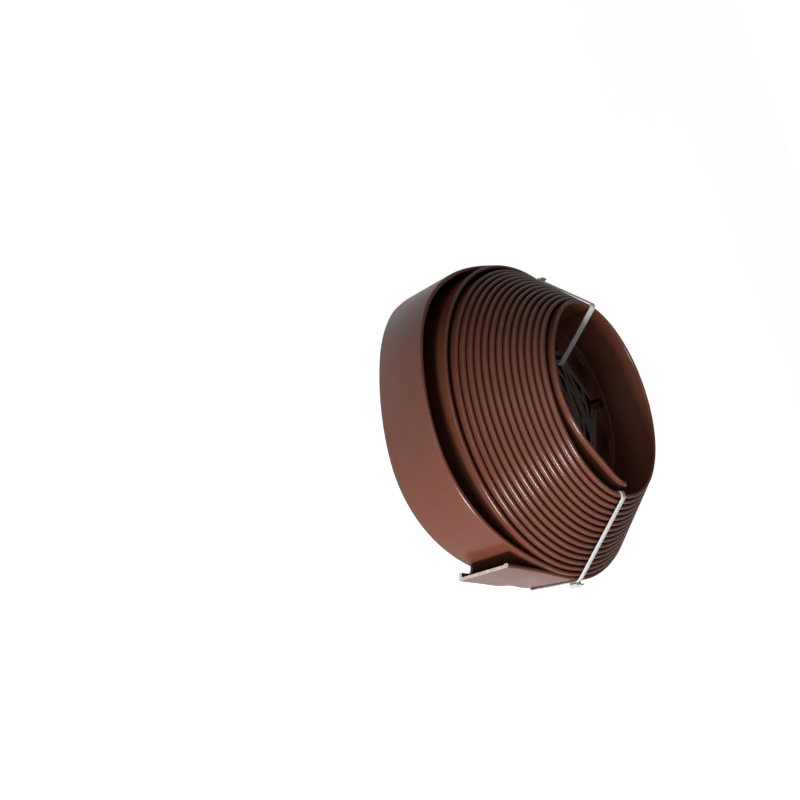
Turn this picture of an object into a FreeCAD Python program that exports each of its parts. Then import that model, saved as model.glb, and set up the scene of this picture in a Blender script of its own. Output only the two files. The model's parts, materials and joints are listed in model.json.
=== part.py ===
import FreeCAD, Part
import math
import os

# A coil of plastic lawn edging, an L-shaped strip wound into a stepped cone and held by two
# cable ties. Millimetres and degrees, +Z up, the coil's axis upright, its wide end down.

# The strip: an upright wall with a lip inside its top, on a flange that notches cut into
# tabs with a nail hole each
STRIP_HEIGHT = 40.0
WALL_THICKNESS = 2.0
LIP_THICKNESS = 2.6
LIP_HEIGHT = 3.0
FLANGE_WIDTH = 30.0
FLANGE_THICKNESS = 2.0
TAB_PITCH = 94.0
NOTCH_WIDTH = 8.0
NOTCH_LAND = 5.0
NAIL_HOLE_DIAMETER = 8.0
NAIL_HOLE_INSET = 14.0

# The winding: turns are counted inwards from a reference bearing on the coil's outside
REFERENCE_RADIUS = 124.5
REFERENCE_BEARING = 203.5
TURN_PITCH = 3.2
TURN_RISE = 3.2
GROOVE_DEPTH = 1.8
FIRST_PACKED_TURN = 2
PACKED_TURN_COUNT = 14
LAST_PACKED_TURN = FIRST_PACKED_TURN + PACKED_TURN_COUNT - 1

# The loose outer turn, from its end, cut in a notch, to where it lies down on the packed turns
OUTER_LEVEL_TURN = 0.6
OUTER_END_TURN = 0.292
OUTER_TIED_TURN = 0.385
OUTER_END_STAND_OFF = 9.0
OUTER_END_CURL = 1.5
BULGE_FIRST_TURN = 1.105
BULGE_LAST_TURN = 1.185
BULGE_BEFORE = 0.155
BULGE_AFTER = 0.155
BULGE_HEIGHT = 16.5
OUTER_MERGE_TURN = 1.275
OUTER_LAST_TURN = 1.345
OUTER_MERGE_DEPTH = 4.2

# The loose inner turn, from where it leaves the packed turns to its cut end
INNER_LEVEL_TURN = 16.1
INNER_NOTCH_BEARING = 90.0
INNER_FIRST_TURN = 15.4
INNER_OVERLAP = 0.5
INNER_PEEL_TURN = 15.98
INNER_END_TURN = 16.38
INNER_END_STAND_OFF = 5.8
LAST_WALL = 2.9
LAST_FLANGE = 1.0

# The cable ties: each loop lies in a plane beside the coil's axis, as far to its side as it
# swings round the eye's edge from the plane's heading, upright or leaning to the side
TIE_WIDTH = 4.8
TIE_THICKNESS = 1.1
TIE_CLEARANCE = 0.3
TIE_HEAD_LENGTH = 6.0
TIE_HEAD_WIDTH = 7.6
TIE_HEAD_HEIGHT = 4.6
TIE_STUB = 3.0
NEAR_TIE_BEARING = -12.5
NEAR_TIE_SWING = -15.7
NEAR_TIE_LEAN = 0.0
FAR_TIE_BEARING = 160.0
FAR_TIE_SWING = -12.7
FAR_TIE_LEAN = 15.7

# Working values: how far a cut stands out of what it cuts, the longest step along a winding
# curve in turns, the corner area that a strap pulls straight, and an offset's sharp corners
CUT_MARGIN = 1.0
CURVE_STEP = 0.07
STRAP_SLACK = 1.0
SHARP_CORNERS = 2
UP = FreeCAD.Vector(0, 0, 1)
ORIGIN = FreeCAD.Vector(0, 0, 0)


def turn_radius(turn):
    return REFERENCE_RADIUS - TURN_PITCH * turn


def turn_top(turn):
    return TURN_RISE * turn


def turn_foot(turn):
    return turn_top(turn) - STRIP_HEIGHT


def ease(value):
    value = min(max(value, 0.0), 1.0)
    return 0.5 - 0.5 * math.cos(math.pi * value)


def outer_radius(turn):
    """Outer face of the loose outer turn: its end stands off, it bulges, then lies down."""
    end = (OUTER_TIED_TURN - turn) / (OUTER_TIED_TURN - OUTER_END_TURN)
    rise = 1.0 - (BULGE_FIRST_TURN - turn) / BULGE_BEFORE
    fall = 1.0 - (turn - BULGE_LAST_TURN) / BULGE_AFTER
    merge = (turn - OUTER_MERGE_TURN) / (OUTER_LAST_TURN - OUTER_MERGE_TURN)
    return (
        turn_radius(turn)
        + OUTER_END_STAND_OFF * max(end, 0.0) ** OUTER_END_CURL
        + BULGE_HEIGHT * ease(min(rise, fall))
        - OUTER_MERGE_DEPTH * ease(merge)
    )


def inner_radius(turn):
    """Outer face of the loose inner turn: it lines the last packed turn, then peels away."""
    peel = (turn - INNER_PEEL_TURN) / (INNER_END_TURN - INNER_PEEL_TURN)
    lining = turn_radius(LAST_PACKED_TURN) - LAST_WALL + INNER_OVERLAP
    return lining - INNER_END_STAND_OFF * max(peel, 0.0)


def bearing(turn):
    return REFERENCE_BEARING + 360.0 * turn


def polar(radius, degrees, height):
    angle = math.radians(degrees)
    return FreeCAD.Vector(radius * math.cos(angle), radius * math.sin(angle), height)


def tabs_per_turn(radius):
    return round(2 * math.pi * radius / TAB_PITCH)


def corner_radius(free_edge, tabs):
    """Where two straight tab edges meet, for tabs whose middles lie on a circle."""
    return free_edge / math.cos(math.pi / tabs)


def strip_length(turn):
    """Length of the strip from the reference point to a turn count."""
    return 2 * math.pi * (REFERENCE_RADIUS - TURN_PITCH * turn / 2) * turn


def tab_opening(turn):
    """The straight-edged opening that the tabs of one packed turn leave round the eye."""
    radius = turn_radius(turn)
    tabs = tabs_per_turn(radius)
    tab_count = (strip_length(turn) - strip_length(OUTER_END_TURN)) / TAB_PITCH
    to_next_notch = (math.ceil(tab_count) - tab_count) * 360.0 / tabs
    corner = corner_radius(radius - FLANGE_WIDTH, tabs)
    start = bearing(turn) + to_next_notch
    points = [polar(corner, start + 360.0 * tab / tabs, turn_foot(turn)) for tab in range(tabs)]
    face = Part.Face(Part.makePolygon(points + points[:1]))
    return face.extrude(UP * TURN_RISE)


def packed_turns():
    """The packed turns as one turned solid with a rib for each turn, opened by the tabs."""
    first, last = FIRST_PACKED_TURN, LAST_PACKED_TURN
    inside = turn_radius(last) - LAST_WALL
    floor = turn_foot(last) + LAST_FLANGE
    outline = [(0, turn_foot(first)), (0, floor), (inside, floor), (inside, turn_top(last))]
    for turn in range(last, first, -1):
        outline.append((turn_radius(turn), turn_top(turn)))
        outline.append((turn_radius(turn), turn_top(turn - 1) - GROOVE_DEPTH))
    outline.append((turn_radius(first), turn_top(first)))
    outline.append((turn_radius(first), turn_foot(first)))
    points = [FreeCAD.Vector(radius, 0, height) for radius, height in outline]
    face = Part.Face(Part.makePolygon(points + points[:1]))
    openings = [tab_opening(turn) for turn in range(first, last + 1)]
    return face.revolve(ORIGIN, UP, 360).cut(openings)


def winding_curve(anchors, radius_law, inset):
    """A smooth level curve along the winding, set in from the strip's outer face."""
    turns = anchors[:1]
    for start, end in zip(anchors, anchors[1:]):
        steps = math.ceil((end - start) / CURVE_STEP)
        turns += [start + (end - start) * step / steps for step in range(1, steps + 1)]
    curve = Part.BSplineCurve()
    curve.interpolate([polar(radius_law(turn) - inset, bearing(turn), 0) for turn in turns])
    return curve.toShape()


def band(outer, inner, foot, height):
    """An upright solid band between two level curves that run the same way."""
    first = Part.makeLine(outer.Vertexes[0].Point, inner.Vertexes[0].Point)
    last = Part.makeLine(outer.Vertexes[-1].Point, inner.Vertexes[-1].Point)
    low = Part.Wire(Part.__sortEdges__([outer, last, first] + inner.Edges))
    high = low.copy()
    low.translate(UP * foot)
    high.translate(UP * (foot + height))
    return Part.makeLoft([low, high], True, True)


def loose_turn(anchors, radius_law, level, notches, tabs):
    """One loose length of the strip: its wall and lip, and up to one turn of tabbed flange."""
    foot = turn_foot(level)
    outer = winding_curve(anchors, radius_law, 0)
    inner = winding_curve(anchors, radius_law, WALL_THICKNESS)
    middle = winding_curve(anchors, radius_law, WALL_THICKNESS / 2)
    lip_face = winding_curve(anchors, radius_law, LIP_THICKNESS)
    wall = band(outer, inner, foot, STRIP_HEIGHT)
    lip = band(middle, lip_face, foot + STRIP_HEIGHT - LIP_HEIGHT, LIP_HEIGHT)
    flange_end = min(anchors[-1], anchors[0] + 1)
    flange_anchors = [turn for turn in anchors if turn < flange_end] + [flange_end]
    corners = []
    for turn in sorted({anchors[0], flange_end, *notches}):
        radius = corner_radius(radius_law(turn) - FLANGE_WIDTH, tabs)
        corners.append(polar(radius, bearing(turn), 0))
    root = winding_curve(flange_anchors, radius_law, WALL_THICKNESS / 2)
    flange = band(root, Part.makePolygon(corners), foot, FLANGE_THICKNESS)
    tools = [flange_notch(turn, radius_law, foot) for turn in notches]
    tools += [nail_hole(turn + 0.5 / tabs, radius_law, foot) for turn in notches[:-1]]
    return wall.fuse([lip, flange.cut(tools)]).removeSplitter()


def flange_notch(turn, radius_law, foot):
    """A straight notch through the flange, open at its free edge."""
    root = radius_law(turn) - NOTCH_LAND
    corner = FreeCAD.Vector(root - FLANGE_WIDTH, -NOTCH_WIDTH / 2, foot - CUT_MARGIN / 2)
    notch = Part.makeBox(FLANGE_WIDTH, NOTCH_WIDTH, FLANGE_THICKNESS + CUT_MARGIN, corner)
    notch.rotate(ORIGIN, UP, bearing(turn))
    return notch


def nail_hole(turn, radius_law, foot):
    centre = polar(radius_law(turn) - NAIL_HOLE_INSET, bearing(turn), foot - CUT_MARGIN / 2)
    return Part.makeCylinder(NAIL_HOLE_DIAMETER / 2, FLANGE_THICKNESS + CUT_MARGIN, centre)


def outer_turn():
    tabs = tabs_per_turn(turn_radius(OUTER_LEVEL_TURN))
    notches = [OUTER_END_TURN + tab / tabs for tab in range(tabs + 1)]
    anchors = [OUTER_END_TURN, OUTER_TIED_TURN, BULGE_FIRST_TURN - BULGE_BEFORE, BULGE_FIRST_TURN]
    anchors += [BULGE_LAST_TURN, OUTER_MERGE_TURN, OUTER_LAST_TURN]
    return loose_turn(anchors, outer_radius, OUTER_LEVEL_TURN, notches, tabs)


def inner_turn():
    tabs = tabs_per_turn(inner_radius(INNER_LEVEL_TURN))
    first = bearing_turn(INNER_NOTCH_BEARING, LAST_PACKED_TURN) % (1 / tabs)
    turns = [LAST_PACKED_TURN + first + tab / tabs for tab in range(2 * tabs)]
    notches = [turn for turn in turns if INNER_FIRST_TURN < turn < INNER_END_TURN]
    anchors = [INNER_FIRST_TURN, INNER_PEEL_TURN, INNER_END_TURN]
    return loose_turn(anchors, inner_radius, INNER_LEVEL_TURN, notches, tabs)


def wound_strip():
    return packed_turns().fuse([outer_turn(), inner_turn()])


def tie_plane(heading, swing, lean):
    """A tie's plane: its heading, its distance from the axis at the base, and its lean."""
    eye = turn_radius(LAST_PACKED_TURN) - FLANGE_WIDTH
    return heading, eye * math.sin(math.radians(swing)), math.radians(lean)


def bearing_turn(angle, whole_turns):
    """Turn count at a bearing in degrees, on the given turn from the outside."""
    return whole_turns + ((angle - REFERENCE_BEARING) / 360.0) % 1.0


def strap_edges(height, plane):
    """Both edges of a strap at a height: distance beside the axis, and height up the plane."""
    heading, offset, lean = plane
    edges = []
    for edge in (-TIE_WIDTH / 2, TIE_WIDTH / 2):
        aside = offset + height * math.tan(lean) + edge / math.cos(lean)
        edges.append((aside, (height + edge * math.sin(lean)) / math.cos(lean)))
    return edges


def round_corners(radius, height, plane):
    """Where both edges of a strap cross a round edge of the coil, in the tie's plane."""
    edges = strap_edges(height, plane)
    return [(math.sqrt(radius**2 - aside**2), rise) for aside, rise in edges]


def tab_corners(free_edge, middle, height, plane):
    """The same for a tab's straight free edge, square to the bearing of its middle."""
    turned = math.radians(middle - plane[0])
    edges = strap_edges(height, plane)
    return [((free_edge - aside * math.sin(turned)) / math.cos(turned), rise) for aside, rise in edges]


def side_bearing(radius, height, plane):
    """Bearing at which a tie's plane crosses a round edge of the coil."""
    heading, offset, lean = plane
    return heading + math.degrees(math.asin((offset + height * math.tan(lean)) / radius))


def section_corners(plane):
    """Corners of the packed turns and the outer turn where a tie's plane cuts them."""
    corners = []
    for turn in range(FIRST_PACKED_TURN, LAST_PACKED_TURN + 1):
        corners += round_corners(turn_radius(turn), turn_top(turn), plane)
        corners += round_corners(turn_radius(turn) - FLANGE_WIDTH, turn_foot(turn), plane)
    top, foot = turn_top(OUTER_LEVEL_TURN), turn_foot(OUTER_LEVEL_TURN)
    for height in (top, (top + foot) / 2, foot):
        turn = bearing_turn(side_bearing(REFERENCE_RADIUS, height, plane), 0)
        corners += round_corners(outer_radius(turn), height, plane)
    corners += round_corners(outer_radius(turn) - FLANGE_WIDTH, foot, plane)
    return corners


def turn_area(first, second, third):
    across = (second[0] - first[0]) * (third[1] - first[1])
    return across - (second[1] - first[1]) * (third[0] - first[0])


def tight_outline(corners):
    """The convex outline round the corners, counter-clockwise from the innermost."""
    ordered = sorted(corners)
    outline = []
    for run in (ordered, ordered[::-1]):
        half = []
        for corner in run:
            while len(half) > 1 and turn_area(half[-2], half[-1], corner) < STRAP_SLACK:
                half.pop()
            half.append(corner)
        outline += half[:-1]
    return outline


def strap_loop(outline):
    """The strap's closed loop, a band of even thickness standing clear of the section."""
    points = [FreeCAD.Vector(along, 0, height) for along, height in outline]
    wire = Part.makePolygon(points + points[:1])
    inside = wire.makeOffset2D(TIE_CLEARANCE, SHARP_CORNERS)
    outside = wire.makeOffset2D(TIE_CLEARANCE + TIE_THICKNESS)
    band = Part.Face(outside).cut(Part.Face(inside))
    band.translate(FreeCAD.Vector(0, -TIE_WIDTH / 2, 0))
    return band.extrude(FreeCAD.Vector(0, TIE_WIDTH, 0))


def tie_head(outline):
    """The locking head on the coil's outer top corner, with the trimmed end of the strap."""
    outer, top = max(outline)
    base = outer + TIE_CLEARANCE + TIE_THICKNESS / 2
    corner = FreeCAD.Vector(base, -TIE_HEAD_WIDTH / 2, top - TIE_HEAD_LENGTH)
    head = Part.makeBox(TIE_HEAD_HEIGHT, TIE_HEAD_WIDTH, TIE_HEAD_LENGTH, corner)
    stub_corner = FreeCAD.Vector(base + TIE_HEAD_HEIGHT / 2, -TIE_WIDTH / 2, top)
    stub = Part.makeBox(TIE_THICKNESS, TIE_WIDTH, TIE_STUB, stub_corner)
    return head.fuse(stub)


def cable_tie(plane, outline):
    heading, offset, lean = plane
    tie = strap_loop(outline).fuse(tie_head(outline)).removeSplitter()
    tie.rotate(ORIGIN, FreeCAD.Vector(1, 0, 0), -math.degrees(lean))
    tie.translate(FreeCAD.Vector(0, offset, 0))
    tie.rotate(ORIGIN, UP, heading)
    return tie


def near_tie():
    """Goes down inside the last packed turn, under the flange of the loose inner end."""
    plane = tie_plane(NEAR_TIE_BEARING, NEAR_TIE_SWING, NEAR_TIE_LEAN)
    outline = tight_outline(section_corners(plane))
    floor = turn_foot(LAST_PACKED_TURN) + LAST_FLANGE
    wall = turn_radius(LAST_PACKED_TURN) - LAST_WALL
    rim = min(round_corners(wall, turn_top(LAST_PACKED_TURN), plane))
    wall_foot = min(round_corners(wall, floor, plane))
    eye = min(round_corners(turn_radius(LAST_PACKED_TURN) - FLANGE_WIDTH, floor, plane))
    split = outline.index(max(outline, key=lambda corner: (corner[1], -corner[0]))) + 1
    return cable_tie(plane, outline[:split] + [rim, wall_foot, eye] + outline[split:])


def far_tie():
    """Goes straight down from the rim to a tab of the loose inner turn."""
    plane = tie_plane(FAR_TIE_BEARING, FAR_TIE_SWING, FAR_TIE_LEAN)
    top = turn_top(INNER_LEVEL_TURN)
    rim_bearing = side_bearing(turn_radius(LAST_PACKED_TURN), top, plane)
    radius = inner_radius(bearing_turn(rim_bearing, LAST_PACKED_TURN))
    corners = section_corners(plane) + round_corners(radius, top, plane)
    corners += round_corners(radius - LIP_THICKNESS, top, plane)
    tab_angle = 360.0 / tabs_per_turn(radius)
    free_edge = radius - FLANGE_WIDTH
    crossing = side_bearing(free_edge, turn_foot(INNER_LEVEL_TURN), plane) - INNER_NOTCH_BEARING
    middle = INNER_NOTCH_BEARING + (crossing // tab_angle + 0.5) * tab_angle
    corners += tab_corners(free_edge, middle, turn_foot(INNER_LEVEL_TURN) + FLANGE_THICKNESS, plane)
    return cable_tie(plane, tight_outline(corners))


def main():
    os.makedirs("parts", exist_ok=True)
    pieces = {
        "edging_strip": wound_strip(),
        "cable_tie_near": near_tie(),
        "cable_tie_far": far_tie(),
    }
    box = Part.makeCompound(list(pieces.values())).optimalBoundingBox(False)
    shift = FreeCAD.Vector(-box.Center.x, -box.Center.y, -box.ZMin)
    print("coil axis at", round(shift.x, 3), round(shift.y, 3), "base of turn 0 at", round(shift.z, 3))
    for name, shape in pieces.items():
        shape.translate(shift)
        print(name, shape.isValid(), len(shape.Solids), round(shape.Volume), shape.BoundBox)
        shape.exportStep("parts/" + name + ".step")


main()
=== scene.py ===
import json
import math

import bpy
from mathutils import Matrix, Vector
from mathutils.geometry import delaunay_2d_cdt


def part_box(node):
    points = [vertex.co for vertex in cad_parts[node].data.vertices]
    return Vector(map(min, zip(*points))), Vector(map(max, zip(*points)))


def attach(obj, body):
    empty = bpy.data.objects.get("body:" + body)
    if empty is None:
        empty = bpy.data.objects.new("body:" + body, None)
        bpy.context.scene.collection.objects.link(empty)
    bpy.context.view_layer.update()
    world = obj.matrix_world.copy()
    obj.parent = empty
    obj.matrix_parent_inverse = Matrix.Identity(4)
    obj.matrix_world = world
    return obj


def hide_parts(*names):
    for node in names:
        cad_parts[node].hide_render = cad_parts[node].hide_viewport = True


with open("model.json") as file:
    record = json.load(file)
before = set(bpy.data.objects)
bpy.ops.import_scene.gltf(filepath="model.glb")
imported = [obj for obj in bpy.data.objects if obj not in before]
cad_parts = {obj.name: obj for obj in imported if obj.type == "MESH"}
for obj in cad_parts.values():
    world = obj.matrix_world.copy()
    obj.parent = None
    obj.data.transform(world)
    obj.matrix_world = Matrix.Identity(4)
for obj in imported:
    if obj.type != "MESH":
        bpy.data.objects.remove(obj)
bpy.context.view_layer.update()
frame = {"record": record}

MM = 0.001

# The strip's section
STRIP_HEIGHT = 40.0 * MM
WALL_THICKNESS = 2.0 * MM
LIP_THICKNESS = 2.6 * MM
LIP_HEIGHT = 3.0 * MM
LIP_STEP = 0.4 * MM
FLANGE_WIDTH = 30.0 * MM
FLANGE_THICKNESS = 2.0 * MM
NOTCH_WIDTH = 8.0 * MM
NOTCH_LAND = 5.0 * MM
NAIL_HOLE_RADIUS = 4.0 * MM
NAIL_HOLE_INSET = 14.0 * MM
FOOT_ROUND = 0.5 * MM
ROOT_FILLET = 1.0 * MM
BARE_END = 5.5 * MM

# The winding: turns are counted inwards from a reference bearing on the coil's outside
REFERENCE_RADIUS = 124.15 * MM
REFERENCE_BEARING = 203.5
TURN_PITCH = 3.2 * MM
TURN_RISE = 3.2 * MM
INNER_LEVEL_TURN = 16.1
FIRST_TURN = 0.2895
LAST_TURN = 16.38
LAST_PACKED_TURN = 15
TAIL_TURN = 0.355
TAIL_DIP = 1.3 * MM
TAIL_DIP_REACH = 0.06
TAIL_CURL = 2.6 * MM
TAIL_LEAN = 2.2 * MM
BULGE_FIRST_TURN = 1.105
BULGE_LAST_TURN = 1.185
BULGE_BEFORE = 0.155
BULGE_AFTER = 0.155
BULGE_HEIGHT = 16.5 * MM
LEAN_FIRST_TURN = 1.06
LEAN_LAST_TURN = 1.33
LEAN_DEPTH = 3.0 * MM
SECOND_BULGE_TURN = 2.08
SECOND_BULGE_REACH = 0.3
SECOND_BULGE_HEIGHT = 3.0 * MM
LAST_LOOSE_TURN = 15.95
LAST_LOOSE_REACH = 0.1
LAST_STAND_OFF = 3.0 * MM
PEEL_TURN = 16.295
PEEL_BEFORE = 0.15
PEEL_AFTER = 0.11
PEEL_DEPTH = 7.2 * MM

# How the tabs divide the strip, and how finely it is meshed
LAST_NOTCH_ON_NOTCH_BEARING = 15.6847
TABS_TO_THAT_NOTCH = 102
RINGS_PER_TAB = 20
HOLE_STEPS = 24
HOLE_TO_CUT_END = 0.02
NOTCH_STEPS = 6
LIP_STEPS = 8
FILLET_STEPS = 3
DIRECTION_STEP = 0.002
FILL_WITHOUT_HOLES = 4
WELD_DISTANCE = 1e-7
STRIP_SHARP_ANGLE = 35.0

# The cable ties
TIE_WIDTH = 4.8 * MM
TIE_THICKNESS = 1.1 * MM
TIE_CLEARANCE = 0.1 * MM
TIE_EDGE_ROUND = 0.35 * MM
TIE_HEAD_LENGTH = 6.0 * MM
TIE_HEAD_WIDTH = 7.6 * MM
TIE_HEAD_HEIGHT = 4.6 * MM
TIE_HEAD_CHAMFER = 0.7 * MM
TIE_STUB = 3.0 * MM
TIE_STUB_CHAMFER = 0.2 * MM
TIE_STUB_SHIFT = 0.2 * MM
TIE_STUB_SINK = 0.3 * MM
TIE_BEND_RADIUS = 2.2 * MM
TIE_BEND_STEP = 12.0
TIE_BEND_SHARE = 0.45
TIE_SHARP_ANGLE = 40.0
TOOTH_PITCH = 1.1 * MM
TOOTH_LENGTH = 0.55 * MM
TOOTH_HEIGHT = 0.24 * MM
TOOTH_WIDTH = 2.4 * MM
TOOTH_CHAMFER = 0.07 * MM
FEWEST_TEETH = 3
EDGE_PASSES = 8
NEAR_TIE_BEARING = -12.5
NEAR_TIE_SWING = -15.7
NEAR_TIE_LEAN = 0.0
FAR_TIE_BEARING = 160.0
FAR_TIE_SWING = -12.7
FAR_TIE_LEAN = 15.7
STRAP_SLACK = 1.0 * MM * MM

# The photograph's view
CAMERA_BEARING = -86.5
CAMERA_ELEVATION = 30.16
CAMERA_DISTANCE = 454.0 * MM
CAMERA_ROLL = -69.9
FOCAL_LENGTH_PX = 596.0
PRINCIPAL_X_PX = 551.56
PRINCIPAL_Y_PX = 415.87
PHOTO_SIZE_PX = 800.0
SENSOR_WIDTH = 36.0

# The studio: how bright the world and the floor are, and how much of that mirrored rays see
AMBIENT = 0.13
FLOOR_GLOW = 0.88
FLOOR_MIRRORED = 0.4
WORLD_MIRRORED = 0.1
FLOOR_REACH = 6.0
LAMP_DISTANCE = 1.0

# Fine relief, and the sockets of a mix of colours
BUMP_DISTANCE = 0.1 * MM
LINE_STRETCH = (6.0, 900.0, 1.0)
MIX_FACTOR = 0
MIX_FIRST = 6
MIX_SECOND = 7
MIX_RESULT = 2


def mount_position(name):
    for mount in frame["record"]["mounts"]:
        if mount["name"] == name:
            return Vector(mount["pos_m"])
    raise ValueError("no mount named " + name)


AXIS = mount_position("resting_edge")
BASE_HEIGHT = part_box("edging_strip")[1].z - TURN_RISE * INNER_LEVEL_TURN


# The winding

def ease(value):
    value = min(max(value, 0.0), 1.0)
    return 0.5 - 0.5 * math.cos(math.pi * value)


def plain_radius(turn):
    return REFERENCE_RADIUS - TURN_PITCH * turn


def hump(turn, middle, before, after):
    span = before if turn < middle else after
    return ease(1.0 - abs(turn - middle) / span)


def tail_share(turn):
    """How far along the straight tail a turn count is, 0 at its root and 1 at its end."""
    return max(TAIL_TURN - turn, 0.0) / (TAIL_TURN - FIRST_TURN)


def turn_radius(turn):
    """Radius of the strip's outer face, with the bends of its loose turns."""
    if turn < TAIL_TURN:
        straight = (plain_radius(TAIL_TURN) - TAIL_DIP) / math.cos(2 * math.pi * (TAIL_TURN - turn))
        return straight + TAIL_CURL * tail_share(turn) ** 2
    rise = 1.0 - (BULGE_FIRST_TURN - turn) / BULGE_BEFORE
    fall = 1.0 - (turn - BULGE_LAST_TURN) / BULGE_AFTER
    loose = (turn - LAST_LOOSE_TURN) / LAST_LOOSE_REACH
    return (
        plain_radius(turn)
        - TAIL_DIP * hump(turn, TAIL_TURN, TAIL_DIP_REACH, TAIL_DIP_REACH)
        + BULGE_HEIGHT * ease(min(rise, fall))
        + SECOND_BULGE_HEIGHT * hump(turn, SECOND_BULGE_TURN, SECOND_BULGE_REACH, SECOND_BULGE_REACH)
        - LAST_STAND_OFF * ease(loose)
        - PEEL_DEPTH * hump(turn, PEEL_TURN, PEEL_BEFORE, PEEL_AFTER)
    )


def foot_lean(turn):
    """How far the foot of the bulging turn and the tail stands in under its top edge, or out."""
    share = (turn - LEAN_FIRST_TURN) / (LEAN_LAST_TURN - LEAN_FIRST_TURN)
    share = min(max(share, 0.0), 1.0)
    return LEAN_DEPTH * math.sin(2 * math.pi * share) - TAIL_LEAN * ease(2.4 * tail_share(turn))


def turn_top(turn):
    return BASE_HEIGHT + TURN_RISE * turn


def turn_foot(turn):
    return turn_top(turn) - STRIP_HEIGHT


def bearing(turn):
    return math.radians(REFERENCE_BEARING + 360.0 * turn)


def winding_point(turn):
    """The strip's outer face at a turn count, in plan from the coil's axis."""
    return turn_radius(turn) * Vector((math.cos(bearing(turn)), math.sin(bearing(turn))))


def inward(turn):
    """Unit vector in plan, square to the strip and towards the coil's middle."""
    along = winding_point(turn + DIRECTION_STEP) - winding_point(turn - DIRECTION_STEP)
    return Vector((-along.y, along.x)).normalized()


def foot_point(turn, inset):
    """A point of the strip's foot in plan, set in from its outer face."""
    return winding_point(turn) + inward(turn) * (inset + foot_lean(turn))


def strip_length(turn):
    return 2 * math.pi * (REFERENCE_RADIUS - TURN_PITCH * turn / 2) * turn


def turn_at_length(length):
    """Turn count at a length along the plain spiral from its reference point."""
    root = math.sqrt(REFERENCE_RADIUS**2 - TURN_PITCH * length / math.pi)
    return (REFERENCE_RADIUS - root) / TURN_PITCH


# The strip's mesh

def arc_points(centre, radius, start, end, steps):
    """Points of an arc in the section, angles in degrees from the inward direction."""
    points = []
    for step in range(steps + 1):
        angle = math.radians(start + (end - start) * step / steps)
        points.append((centre[0] + radius * math.cos(angle), centre[1] + radius * math.sin(angle)))
    return points


def strip_section():
    """The section as (inset, height) points, from the land's lower to its upper edge."""
    lip_radius = LIP_THICKNESS / 2
    points = [(NOTCH_LAND, 0.0)]
    points += arc_points((FOOT_ROUND, FOOT_ROUND), FOOT_ROUND, 270, 180, FILLET_STEPS)
    points += arc_points((lip_radius, STRIP_HEIGHT - lip_radius), lip_radius, 180, 0, LIP_STEPS)
    points.append((LIP_THICKNESS, STRIP_HEIGHT - LIP_HEIGHT))
    points.append((WALL_THICKNESS, STRIP_HEIGHT - LIP_HEIGHT - LIP_STEP))
    fillet_centre = (WALL_THICKNESS + ROOT_FILLET, FLANGE_THICKNESS + ROOT_FILLET)
    points += arc_points(fillet_centre, ROOT_FILLET, 180, 270, FILLET_STEPS)
    points.append((NOTCH_LAND, FLANGE_THICKNESS))
    return points


def place(plan, height):
    return (AXIS.x + plan.x, AXIS.y + plan.y, height)


class StripMesh:
    """Vertices, faces and coordinates along and across the strip for its one mesh."""

    def __init__(self):
        self.vertices = []
        self.faces = []
        self.along = []
        self.across = []

    def add_vertex(self, position, along, across):
        self.vertices.append(position)
        self.along.append(along)
        self.across.append(across)
        return len(self.vertices) - 1

    def add_ring(self, turn, section, along):
        """One ring of section points, returned as vertex numbers."""
        plan = winding_point(turn)
        direction = inward(turn)
        ring = []
        travelled = 0.0
        previous = section[0]
        for inset, height in section:
            travelled += math.hypot(inset - previous[0], height - previous[1])
            previous = (inset, height)
            lean = foot_lean(turn) * (1 - height / STRIP_HEIGHT)
            position = place(plan + direction * (inset + lean), turn_foot(turn) + height)
            ring.append(self.add_vertex(position, along, travelled))
        return ring

    def join_rings(self, first, second):
        for low, high in zip(range(len(first) - 1), range(1, len(first))):
            self.faces.append((first[low], first[high], second[high], second[low]))

    def add_tab(self, rings, turns, lengths, middle, cut_short):
        """A tab between two notches, or up to the strip's cut end, with its nail hole."""
        start, end = turns[0], turns[-1]
        outline = tab_outline(start, end, middle, cut_short)
        roots = len(rings)
        root_points = [foot_point(turn, NOTCH_LAND) for turn in turns]
        points = root_points + outline
        edges = [(number, (number + 1) % len(points)) for number in range(len(points))]
        hole_inside = middle < end - HOLE_TO_CUT_END
        hole_first = len(points)
        if hole_inside:
            centre = foot_point(middle, NAIL_HOLE_INSET)
            for step in range(HOLE_STEPS):
                angle = 2 * math.pi * step / HOLE_STEPS
                rim = Vector((math.cos(angle), math.sin(angle))) * NAIL_HOLE_RADIUS
                points.append(centre + rim)
            hole = range(hole_first, hole_first + HOLE_STEPS)
            edges += [(number, hole_first + (number + 1 - hole_first) % HOLE_STEPS) for number in hole]
        triangles = inside_triangles(points, edges)
        low, high = [], []
        for number, point in enumerate(points):
            if number < roots:
                low.append(rings[number][0])
                high.append(rings[number][-1])
                continue
            turn = turn_of_point(point, middle)
            along = lengths[0] + (turn - start) / (end - start) * (lengths[-1] - lengths[0])
            reach = STRIP_HEIGHT + (winding_point(turn).length - point.length)
            foot = turn_foot(turn)
            low.append(self.add_vertex(place(point, foot), along, -reach))
            high.append(self.add_vertex(place(point, foot + FLANGE_THICKNESS), along, reach))
        for one, two, three in triangles:
            self.faces.append((high[one], high[two], high[three]))
            self.faces.append((low[three], low[two], low[one]))
        around = list(range(roots - 1, hole_first)) + [0]
        for one, two in zip(around, around[1:]):
            self.faces.append((low[one], low[two], high[two], high[one]))
        if hole_inside:
            for one, two in edges[hole_first:]:
                self.faces.append((low[two], low[one], high[one], high[two]))


def tab_pitch():
    whole = strip_length(LAST_NOTCH_ON_NOTCH_BEARING) - strip_length(FIRST_TURN)
    return whole / TABS_TO_THAT_NOTCH


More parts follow.
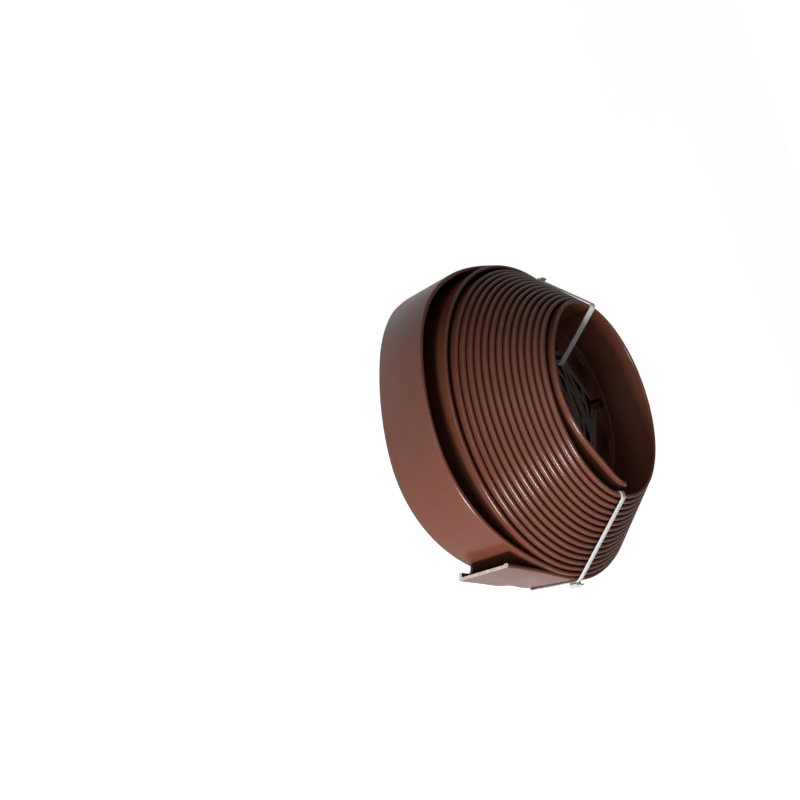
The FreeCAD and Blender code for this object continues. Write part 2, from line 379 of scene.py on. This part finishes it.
def turn_of_point(point, near_turn):
    """Turn count that goes with a plan point's bearing, nearest to a given turn count."""
    turn = (math.degrees(math.atan2(point.y, point.x)) - REFERENCE_BEARING) / 360.0
    return turn + round(near_turn - turn)


def tab_outline(start, end, middle, cut_short):
    """Plan points of a tab's side, straight free edge and other side, from its far root."""
    facing = -foot_point(middle, 0.0).normalized()
    apothem = foot_point(middle, 0.0).length - FLANGE_WIDTH
    points = []
    for turn, side in ((end, -1.0), (start, 1.0)):
        root = foot_point(turn, 0.0)
        depth = inward(turn)
        across = Vector((depth.y, -depth.x)) * side
        notch = []
        width = NOTCH_WIDTH / 2
        if cut_short and turn == end:
            width = 0.0
        else:
            for step in range(1, NOTCH_STEPS + 1):
                angle = math.pi / 2 * step / NOTCH_STEPS
                sideways = width * math.sin(angle)
                deep = NOTCH_LAND + width * (1 - math.cos(angle))
                notch.append(root + across * sideways + depth * deep)
        line_start = root + across * width
        travel = (-apothem - line_start.dot(facing)) / depth.dot(facing)
        notch.append(line_start + depth * travel)
        points += notch if side < 0 else notch[::-1]
    return points


def inside_triangles(points, edges):
    """Triangles that fill an outline with its holes, all turning the same way."""
    found = delaunay_2d_cdt(points, edges, [], FILL_WITHOUT_HOLES, WELD_DISTANCE)
    corners = found[0]
    origins = [origin[0] for origin in found[3]]
    triangles = []
    for face in found[2]:
        one, two, three = (corners[corner] for corner in face)
        turning = (two - one).cross(three - one)
        numbers = [origins[corner] for corner in face]
        triangles.append(numbers if turning > 0 else numbers[::-1])
    return triangles


def build_strip():
    section = strip_section()
    pitch = tab_pitch()
    mesh = StripMesh()
    length = strip_length(FIRST_TURN)
    last_length = strip_length(LAST_TURN)
    first_tab = length + BARE_END
    first_ring = mesh.add_ring(FIRST_TURN, section, length)
    ring = mesh.add_ring(turn_at_length(first_tab), section, first_tab)
    mesh.join_rings(first_ring, ring)
    mesh.faces.append((ring[0], first_ring[0], first_ring[-1], ring[-1]))
    while length < last_length - pitch / RINGS_PER_TAB / 2:
        cut_short = length + pitch > last_length
        middle = turn_at_length(length + pitch / 2)
        start = max(length, first_tab)
        length = min(length + pitch, last_length)
        steps = max(round(RINGS_PER_TAB * (length - start) / pitch), 1)
        lengths = [start + (length - start) * step / steps for step in range(steps + 1)]
        turns = [turn_at_length(value) for value in lengths]
        rings = [ring]
        for turn, value in zip(turns[1:], lengths[1:]):
            rings.append(mesh.add_ring(turn, section, value))
            mesh.join_rings(rings[-2], rings[-1])
        mesh.add_tab(rings, turns, lengths, middle, cut_short)
        ring = rings[-1]
    cut_faces = [len(mesh.faces), len(mesh.faces) + 1]
    mesh.faces.append(tuple(first_ring[::-1]))
    mesh.faces.append(tuple(ring))
    data = bpy.data.meshes.new("edging_strip_coil")
    data.from_pydata(mesh.vertices, [], mesh.faces)
    layer = data.uv_layers.new(name="along_strip")
    for loop in data.loops:
        number = loop.vertex_index
        layer.data[loop.index].uv = (mesh.along[number], mesh.across[number])
    data.shade_smooth()
    data.set_sharp_from_angle(angle=math.radians(STRIP_SHARP_ANGLE))
    for face in cut_faces:
        data.polygons[face].material_index = 1
    piece = bpy.data.objects.new("edging_strip_coil", data)
    bpy.context.scene.collection.objects.link(piece)
    return piece


# The cable ties

def bearing_turn(angle, whole_turns):
    """Turn count at a bearing in degrees, on the given turn from the outside."""
    return whole_turns + ((angle - REFERENCE_BEARING) / 360.0) % 1.0


def tie_plane(heading, swing, lean):
    """A tie's plane: its heading, its distance from the axis at the base, and its lean."""
    eye_radius = plain_radius(LAST_PACKED_TURN) - FLANGE_WIDTH
    return heading, eye_radius * math.sin(math.radians(swing)), math.radians(lean)


def strap_corners(plane, whole_turns, inset, level):
    """Where a turn's edge passes under both edges of a strap, along and up the tie's plane."""
    heading, offset, lean = plane
    corners = []
    for edge in (-TIE_WIDTH / 2, TIE_WIDTH / 2):
        turn = bearing_turn(heading, whole_turns)
        for _ in range(EDGE_PASSES):
            height = level(turn) - BASE_HEIGHT
            aside = offset + height * math.tan(lean) + edge / math.cos(lean)
            radius = turn_radius(turn) - inset
            turn = bearing_turn(heading + math.degrees(math.asin(aside / radius)), whole_turns)
        rise = (height + edge * math.sin(lean)) / math.cos(lean)
        corners.append((math.sqrt(radius**2 - aside**2), rise))
    return corners


def section_corners(plane):
    corners = []
    for turn in range(LAST_PACKED_TURN + 1):
        corners += strap_corners(plane, turn, 0.0, turn_top)
        corners += strap_corners(plane, turn, FLANGE_WIDTH, turn_foot)
    for turn in (0, 1):
        corners += strap_corners(plane, turn, 0.0, turn_foot)
    return corners


def turn_area(first, second, third):
    across = (second[0] - first[0]) * (third[1] - first[1])
    return across - (second[1] - first[1]) * (third[0] - first[0])


def tight_outline(corners, slack):
    """The convex outline round the corners, counter-clockwise from the innermost."""
    ordered = sorted(corners)
    outline = []
    for run in (ordered, ordered[::-1]):
        half = []
        for corner in run:
            while len(half) > 1 and turn_area(half[-2], half[-1], corner) < slack:
                half.pop()
            half.append(corner)
        outline += half[:-1]
    return outline


def rounded_path(corners, radius):
    """A closed path of straight runs and arcs round the corners of an outline."""
    path = []
    count = len(corners)
    for number in range(count):
        before = Vector(corners[number - 1])
        corner = Vector(corners[number])
        after = Vector(corners[(number + 1) % count])
        arriving = (corner - before).normalized()
        leaving = (after - corner).normalized()
        angle = arriving.angle_signed(leaving)
        cut = abs(radius * math.tan(angle / 2))
        shorter = min((corner - before).length, (after - corner).length)
        cut = min(cut, shorter * TIE_BEND_SHARE)
        steps = max(round(abs(math.degrees(angle)) / TIE_BEND_STEP), 1)
        for step in range(steps + 1):
            share = step / steps
            start = corner - arriving * cut
            end = corner + leaving * cut
            path.append(start.lerp(corner, share).lerp(corner.lerp(end, share), share))
    return path


def offset_outline(outline, distance):
    """The outline's edges moved outwards, met again at their corners."""
    moved = []
    count = len(outline)
    for number in range(count):
        before = Vector(outline[number - 1])
        corner = Vector(outline[number])
        after = Vector(outline[(number + 1) % count])
        first = (corner - before).normalized()
        second = (after - corner).normalized()
        first_out = Vector((first.y, -first.x))
        second_out = Vector((second.y, -second.x))
        bisector = (first_out + second_out).normalized()
        moved.append(corner + bisector * distance / bisector.dot(first_out))
    return moved


def sweep_strap(mesh, path, place_point):
    """A flat strap with rounded edges along a closed path in the tie's plane."""
    vertices, faces = mesh
    half_width = TIE_WIDTH / 2
    half_height = TIE_THICKNESS / 2
    section = []
    for sign_x, sign_y, start in ((1, -1, 270), (1, 1, 0), (-1, 1, 90), (-1, -1, 180)):
        centre = (sign_x * (half_width - TIE_EDGE_ROUND), sign_y * (half_height - TIE_EDGE_ROUND))
        section += arc_points(centre, TIE_EDGE_ROUND, start, start + 90, FILLET_STEPS)
    rings = []
    count = len(path)
    for number, point in enumerate(path):
        tangent = (path[(number + 1) % count] - path[number - 1]).normalized()
        outward = Vector((tangent.y, -tangent.x))
        ring = []
        for sideways, out in section:
            vertices.append(place_point(point + outward * out, sideways))
            ring.append(len(vertices) - 1)
        rings.append(ring)
    for number in range(count):
        first, second = rings[number - 1], rings[number]
        for one in range(len(section)):
            two = (one + 1) % len(section)
            faces.append((first[one], second[one], second[two], first[two]))


def add_block(mesh, place_point, centre, axes, sizes, chamfer):
    """A chamfered block in the tie's plane: sizes along both in-plane axes and across it."""
    vertices, faces = mesh
    first, second = axes
    signs = (-1, 1)
    numbers = {}
    for sign in ((a, b, c) for a in signs for b in signs for c in signs):
        for cut in range(3):
            lengths = []
            for axis in range(3):
                drawn_in = 0.0 if axis == cut else chamfer
                lengths.append(sign[axis] * (sizes[axis] / 2 - drawn_in))
            point = centre + first * lengths[0] + second * lengths[1]
            vertices.append(place_point(point, lengths[2]))
            numbers[sign + (cut,)] = len(vertices) - 1
    for cut in range(3):
        others = [axis for axis in range(3) if axis != cut]
        for face_sign in signs:
            loop = []
            for a, b in ((-1, -1), (1, -1), (1, 1), (-1, 1)):
                sign = [0, 0, 0]
                sign[cut] = face_sign
                sign[others[0]] = a
                sign[others[1]] = b
                loop.append(numbers[tuple(sign) + (cut,)])
            faces.append(tuple(loop))
    for axis in range(3):
        one, two = [other for other in range(3) if other != axis]
        for a in signs:
            for b in signs:
                loop = []
                for along, cut in ((-1, one), (1, one), (1, two), (-1, two)):
                    sign = [0, 0, 0]
                    sign[axis] = along
                    sign[one] = a
                    sign[two] = b
                    loop.append(numbers[tuple(sign) + (cut,)])
                faces.append(tuple(loop))
    for sign in ((a, b, c) for a in signs for b in signs for c in signs):
        faces.append(tuple(numbers[sign + (cut,)] for cut in range(3)))


def add_teeth(mesh, path, place_point):
    """Fine ribs across the middle of the strap's outward face."""
    count = len(path)
    for number in range(count):
        start, end = path[number - 1], path[number]
        run = end - start
        teeth = int(run.length / TOOTH_PITCH)
        if teeth < FEWEST_TEETH:
            continue
        direction = run.normalized()
        outward = Vector((direction.y, -direction.x))
        for tooth in range(teeth):
            middle = start + direction * (tooth + 0.5) * run.length / teeth
            centre = middle + outward * (TIE_THICKNESS / 2)
            sizes = (TOOTH_LENGTH, TOOTH_HEIGHT, TOOTH_WIDTH)
            add_block(mesh, place_point, centre, (direction, outward), sizes, TOOTH_CHAMFER)


def build_tie(name, plane, outline):
    heading, offset, lean = plane
    angle = math.radians(heading)
    along = Vector((math.cos(angle), math.sin(angle)))
    aside = Vector((-along.y, along.x))

    def place_point(point, sideways):
        side = offset + point.y * math.sin(lean) + sideways * math.cos(lean)
        height = BASE_HEIGHT + point.y * math.cos(lean) - sideways * math.sin(lean)
        return place(along * point.x + aside * side, height)

    mesh = ([], [])
    moved = offset_outline(outline, TIE_CLEARANCE + TIE_THICKNESS / 2)
    path = rounded_path(moved, TIE_BEND_RADIUS)
    sweep_strap(mesh, path, place_point)
    add_teeth(mesh, path, place_point)
    outer, top = max(outline)
    down = Vector((0.0, -1.0))
    out = Vector((1.0, 0.0))
    base = outer + TIE_CLEARANCE + TIE_THICKNESS
    centre = Vector((base + TIE_HEAD_HEIGHT / 2 - TIE_THICKNESS / 2, top - TIE_HEAD_LENGTH / 2))
    head_sizes = (TIE_HEAD_LENGTH, TIE_HEAD_HEIGHT - TIE_THICKNESS, TIE_HEAD_WIDTH)
    add_block(mesh, place_point, centre, (down, out), head_sizes, TIE_HEAD_CHAMFER)
    stub_reach = TIE_HEAD_LENGTH / 2 + TIE_STUB / 2 - TIE_STUB_SINK
    stub = centre + Vector((TIE_STUB_SHIFT, stub_reach))
    stub_sizes = (TIE_STUB, TIE_THICKNESS, TIE_WIDTH)
    add_block(mesh, place_point, stub, (down, out), stub_sizes, TIE_STUB_CHAMFER)
    data = bpy.data.meshes.new(name)
    data.from_pydata(mesh[0], [], mesh[1])
    data.shade_smooth()
    data.set_sharp_from_angle(angle=math.radians(TIE_SHARP_ANGLE))
    piece = bpy.data.objects.new(name, data)
    bpy.context.scene.collection.objects.link(piece)
    return piece


def build_near_tie():
    """Goes down inside the last packed turn, under the flange of the loose inner end."""
    plane = tie_plane(NEAR_TIE_BEARING, NEAR_TIE_SWING, NEAR_TIE_LEAN)
    outline = tight_outline(section_corners(plane), STRAP_SLACK)

    def floor(turn):
        return turn_foot(turn) + FLANGE_THICKNESS

    rim = min(strap_corners(plane, LAST_PACKED_TURN, LIP_THICKNESS, turn_top))
    wall_foot = min(strap_corners(plane, LAST_PACKED_TURN, LIP_THICKNESS, floor))
    eye = min(strap_corners(plane, LAST_PACKED_TURN, FLANGE_WIDTH, floor))
    split = outline.index(max(outline, key=lambda corner: corner[1])) + 1
    outline = outline[:split] + [rim, wall_foot, eye] + outline[split:]
    return build_tie("cable_tie_near_strap", plane, outline)


def build_far_tie():
    """Goes straight down from the rim to a tab of the loose inner turn."""
    plane = tie_plane(FAR_TIE_BEARING, FAR_TIE_SWING, FAR_TIE_LEAN)
    corners = section_corners(plane)
    corners += strap_corners(plane, LAST_PACKED_TURN, LIP_THICKNESS, turn_top)
    return build_tie("cable_tie_far_strap", plane, tight_outline(corners, STRAP_SLACK))


# Materials

def new_material(name):
    material = bpy.data.materials.new(name)
    material.use_nodes = True
    nodes = material.node_tree.nodes
    return material, nodes, material.node_tree.links, nodes["Principled BSDF"]


def object_position(nodes):
    return nodes.new("ShaderNodeTexCoord").outputs["Object"]


def add_noise(nodes, links, vector, scale, detail):
    noise = nodes.new("ShaderNodeTexNoise")
    noise.inputs["Scale"].default_value = scale
    noise.inputs["Detail"].default_value = detail
    links.new(vector, noise.inputs["Vector"])
    return noise.outputs["Fac"]


def add_ramp(nodes, links, factor, positions, colours):
    """A ramp between two colours at two positions."""
    ramp = nodes.new("ShaderNodeValToRGB")
    for element, position, colour in zip(ramp.color_ramp.elements, positions, colours):
        element.position = position
        element.color = colour + (1.0,)
    links.new(factor, ramp.inputs["Fac"])
    return ramp.outputs["Color"]


def add_bump(nodes, links, height, strength):
    bump = nodes.new("ShaderNodeBump")
    bump.inputs["Strength"].default_value = strength
    bump.inputs["Distance"].default_value = BUMP_DISTANCE
    links.new(height, bump.inputs["Height"])
    return bump


def add_specks(nodes, links, position, plain_colour):
    """The plain colour with a few pale specks in it."""
    cells = nodes.new("ShaderNodeTexVoronoi")
    cells.inputs["Scale"].default_value = 160.0
    links.new(position, cells.inputs["Vector"])
    chance = nodes.new("ShaderNodeSeparateColor")
    links.new(cells.outputs["Color"], chance.inputs["Color"])
    size = nodes.new("ShaderNodeMapRange")
    size.inputs["From Min"].default_value = 0.94
    size.inputs["From Max"].default_value = 1.0
    size.inputs["To Max"].default_value = 0.07
    links.new(chance.outputs["Red"], size.inputs["Value"])
    speck = nodes.new("ShaderNodeMath")
    speck.operation = "LESS_THAN"
    links.new(cells.outputs["Distance"], speck.inputs[0])
    links.new(size.outputs["Result"], speck.inputs[1])
    mixed = nodes.new("ShaderNodeMix")
    mixed.data_type = "RGBA"
    mixed.inputs[MIX_SECOND].default_value = (0.5, 0.36, 0.28, 1.0)
    links.new(speck.outputs[0], mixed.inputs[MIX_FACTOR])
    links.new(plain_colour, mixed.inputs[MIX_FIRST])
    return mixed.outputs[MIX_RESULT]


def brown_plastic():
    """Satin extruded plastic: faint lines along the strip, fine grain and soft mottling."""
    material, nodes, links, shader = new_material("edging_plastic")
    position = object_position(nodes)
    strip = nodes.new("ShaderNodeUVMap")
    strip.uv_map = "along_strip"
    stretch = nodes.new("ShaderNodeMapping")
    stretch.inputs["Scale"].default_value = LINE_STRETCH
    links.new(strip.outputs["UV"], stretch.inputs["Vector"])
    lines = add_noise(nodes, links, stretch.outputs["Vector"], 1.0, 3.0)
    grain = add_noise(nodes, links, position, 1500.0, 2.0)
    mottle = add_noise(nodes, links, position, 90.0, 4.0)
    browns = ((0.146, 0.046, 0.025), (0.158, 0.050, 0.029))
    tint = add_ramp(nodes, links, mottle, (0.3, 0.7), browns)
    links.new(add_specks(nodes, links, position, tint), shader.inputs["Base Color"])
    gloss = nodes.new("ShaderNodeMapRange")
    gloss.inputs["To Min"].default_value = 0.2
    gloss.inputs["To Max"].default_value = 0.3
    links.new(lines, gloss.inputs["Value"])
    links.new(gloss.outputs["Result"], shader.inputs["Roughness"])
    line_bump = add_bump(nodes, links, lines, 0.08)
    grain_bump = add_bump(nodes, links, grain, 0.07)
    links.new(line_bump.outputs["Normal"], grain_bump.inputs["Normal"])
    links.new(grain_bump.outputs["Normal"], shader.inputs["Normal"])
    return material


def cut_plastic():
    """A pale colour for the strip's cut ends, varied in a fine grain."""
    material, nodes, links, shader = new_material("edging_cut")
    shader.inputs["Roughness"].default_value = 0.6
    grain = add_noise(nodes, links, object_position(nodes), 700.0, 3.0)
    pales = ((0.62, 0.5, 0.44), (0.85, 0.78, 0.74))
    tint = add_ramp(nodes, links, grain, (0.3, 0.65), pales)
    links.new(tint, shader.inputs["Base Color"])
    return material


def tie_nylon():
    """Milky white nylon with a faint unevenness."""
    material, nodes, links, shader = new_material("tie_nylon")
    shader.inputs["Roughness"].default_value = 0.35
    cloud = add_noise(nodes, links, object_position(nodes), 220.0, 3.0)
    whites = ((0.66, 0.66, 0.67), (0.82, 0.82, 0.83))
    links.new(add_ramp(nodes, links, cloud, (0.0, 1.0), whites), shader.inputs["Base Color"])
    bump = add_bump(nodes, links, cloud, 0.1)
    links.new(bump.outputs["Normal"], shader.inputs["Normal"])
    return material


def seen_white(nodes, links, mirrored):
    """1 on rays from the camera, a share of that on mirrored and passing rays, else 0."""
    light_path = nodes.new("ShaderNodeLightPath")
    factor = light_path.outputs["Is Camera Ray"]
    for name, share in (("Is Glossy Ray", mirrored), ("Is Transmission Ray", 1.0)):
        added = nodes.new("ShaderNodeMath")
        added.operation = "MULTIPLY_ADD"
        added.use_clamp = True
        added.inputs[1].default_value = share
        links.new(light_path.outputs[name], added.inputs[0])
        links.new(factor, added.inputs[2])
        factor = added.outputs[0]
    return factor


def floor_material():
    """White to the camera, with the object's shadow kept."""
    material, nodes, links, shader = new_material("floor_white")
    shader.inputs["Base Color"].default_value = (0.8, 0.8, 0.8, 1.0)
    shader.inputs["Roughness"].default_value = 0.9
    shader.inputs["Specular IOR Level"].default_value = 0.0
    share = nodes.new("ShaderNodeMath")
    share.operation = "MULTIPLY"
    share.inputs[1].default_value = FLOOR_GLOW
    links.new(seen_white(nodes, links, FLOOR_MIRRORED), share.inputs[0])
    glow = nodes.new("ShaderNodeEmission")
    links.new(share.outputs[0], glow.inputs["Strength"])
    both = nodes.new("ShaderNodeAddShader")
    links.new(shader.outputs["BSDF"], both.inputs[0])
    links.new(glow.outputs["Emission"], both.inputs[1])
    links.new(both.outputs["Shader"], nodes["Material Output"].inputs["Surface"])
    return material


# The stage, the light and the camera

def build_floor():
    data = bpy.data.meshes.new("floor")
    corners = [(x * FLOOR_REACH, y * FLOOR_REACH, 0.0) for x, y in ((-1, -1), (1, -1), (1, 1), (-1, 1))]
    data.from_pydata(corners, [], [(0, 1, 2, 3)])
    floor = bpy.data.objects.new("floor", data)
    bpy.context.scene.collection.objects.link(floor)
    data.materials.append(floor_material())


def build_world():
    world = bpy.data.worlds.new("studio")
    bpy.context.scene.world = world
    world.use_nodes = True
    nodes = world.node_tree.nodes
    links = world.node_tree.links
    background = nodes["Background"]
    background.inputs["Color"].default_value = (1.0, 1.0, 1.0, 1.0)
    strength = nodes.new("ShaderNodeMapRange")
    strength.inputs["To Min"].default_value = AMBIENT
    strength.inputs["To Max"].default_value = 1.0
    links.new(seen_white(nodes, links, WORLD_MIRRORED), strength.inputs["Value"])
    links.new(strength.outputs["Result"], background.inputs["Strength"])


def direction_to(bearing_degrees, elevation_degrees):
    turn = math.radians(bearing_degrees)
    rise = math.radians(elevation_degrees)
    return Vector((math.cos(rise) * math.cos(turn), math.cos(rise) * math.sin(turn), math.sin(rise)))


def add_lamp(name, bearing_degrees, elevation_degrees, width, height, power):
    light = bpy.data.lights.new(name, "AREA")
    light.shape = "RECTANGLE"
    light.size = width
    light.size_y = height
    light.energy = power
    lamp = bpy.data.objects.new(name, light)
    target = Vector((AXIS.x, AXIS.y, BASE_HEIGHT))
    towards = direction_to(bearing_degrees, elevation_degrees)
    lamp.location = target + towards * LAMP_DISTANCE
    lamp.visible_camera = False
    lamp.rotation_euler = (-towards).to_track_quat("-Z", "Y").to_euler()
    bpy.context.scene.collection.objects.link(lamp)


def build_lamps():
    """The key light skims past the eye, and the other two reach into it faintly."""
    add_lamp("key", bearing_degrees=-47.0, elevation_degrees=5.0, width=0.25, height=0.12, power=8.5)
    add_lamp("side", bearing_degrees=-12.0, elevation_degrees=14.0, width=0.5, height=0.3, power=0.8)
    add_lamp("fill", bearing_degrees=-98.0, elevation_degrees=14.0, width=0.6, height=0.15, power=1.6)


def build_camera():
    heading = math.radians(CAMERA_BEARING)
    roll = math.radians(CAMERA_ROLL)
    towards = direction_to(CAMERA_BEARING, CAMERA_ELEVATION)
    right = Vector((-math.sin(heading), math.cos(heading), 0.0))
    up = towards.cross(right)
    image_right = right * math.cos(roll) - up * math.sin(roll)
    image_up = right * math.sin(roll) + up * math.cos(roll)
    data = bpy.data.cameras.new("camera")
    data.sensor_fit = "HORIZONTAL"
    data.sensor_width = SENSOR_WIDTH
    data.lens = FOCAL_LENGTH_PX / PHOTO_SIZE_PX * SENSOR_WIDTH
    data.shift_x = (PHOTO_SIZE_PX / 2 - PRINCIPAL_X_PX) / PHOTO_SIZE_PX
    data.shift_y = (PRINCIPAL_Y_PX - PHOTO_SIZE_PX / 2) / PHOTO_SIZE_PX
    data.clip_start = 0.01
    camera = bpy.data.objects.new("camera", data)
    place_at = Vector((AXIS.x, AXIS.y, BASE_HEIGHT)) + towards * CAMERA_DISTANCE
    rotation = Matrix((image_right, image_up, towards)).transposed()
    camera.matrix_world = Matrix.Translation(place_at) @ rotation.to_4x4()
    bpy.context.scene.collection.objects.link(camera)
    bpy.context.scene.camera = camera


def main():
    build_camera()
    strip = build_strip()
    strip.data.materials.append(brown_plastic())
    strip.data.materials.append(cut_plastic())
    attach(strip, "root")
    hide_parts("edging_strip")
    nylon = tie_nylon()
    for tie, node in ((build_near_tie(), "cable_tie_near"), (build_far_tie(), "cable_tie_far")):
        tie.data.materials.append(nylon)
        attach(tie, "root")
        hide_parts(node)
    build_floor()
    build_world()
    build_lamps()
    bpy.context.scene.view_settings.view_transform = "Standard"


main()
